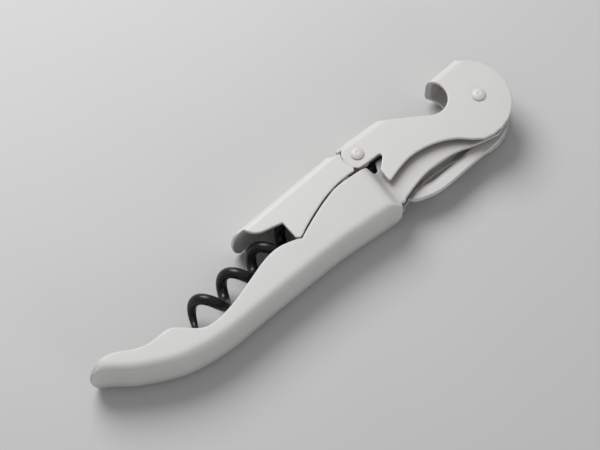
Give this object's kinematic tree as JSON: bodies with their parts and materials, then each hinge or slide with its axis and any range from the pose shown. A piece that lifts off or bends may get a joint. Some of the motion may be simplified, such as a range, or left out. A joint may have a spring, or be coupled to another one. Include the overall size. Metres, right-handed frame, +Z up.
{
  "type": "lever corkscrew",
  "caption": "Double-hinged pocket corkscrew with folding worm, two-part boot lever, bottle opener hook and folding foil knife, folded shut.",
  "frame": {"origin": "middle of the underside of the folded tool lying on its side", "axes": "+X along the handle from its tail to the head with the bottle opener, +Y towards the side the levers open to, +Z up through the thickness"},
  "size_m": [0.1248, 0.0286, 0.012],
  "materials": {
    "white_paint": "satin white powder coat",
    "black_coating": "satin black non-stick coating",
    "steel": "plain bright steel"
  },
  "bodies": {
    "handle": {"handle_body": "white_paint", "lever_rivet": "white_paint", "worm_pin": "steel", "spring_pin": "steel", "knife_spring": "steel", "lever_washer_upper": "steel", "lever_washer_lower": "steel", "worm_spacer_upper": "steel", "worm_spacer_lower": "steel", "knife_bush_upper": "steel", "knife_bush_lower": "steel"},
    "upper_lever": {"upper_lever": "white_paint", "link_rivet": "white_paint", "link_washer_upper": "steel", "link_washer_lower": "steel"},
    "boot_lever": {"boot_lever": "white_paint"},
    "worm": {"worm": "black_coating"},
    "knife": {"knife_blade": "white_paint"}
  },
  "joints": [
    {"name": "lever_swing", "type": "hinge", "parent": "handle", "child": "upper_lever", "pos_m": [0.0545, 0.00253, 0.006], "axis": [0, 0, -1], "range_deg": [0, 170]},
    {"name": "link_swing", "type": "hinge", "parent": "upper_lever", "child": "boot_lever", "pos_m": [0.02085, 0.00668, 0.006], "axis": [0, 0, -1], "range_deg": [0, 30]},
    {"name": "worm_swing", "type": "hinge", "parent": "handle", "child": "worm", "pos_m": [0.02995, 0.00379, 0.006], "axis": [0, 0, -1], "range_deg": [0, 90]},
    {"name": "knife_swing", "type": "hinge", "parent": "handle", "child": "knife", "pos_m": [0.0545, 0.00253, 0.006], "axis": [0, 0, 1], "range_deg": [0, 170]}
  ],
  "couplings": [
    {"joint": "worm_swing", "follows": "lever_swing", "ratio": 0.529}
  ]
}
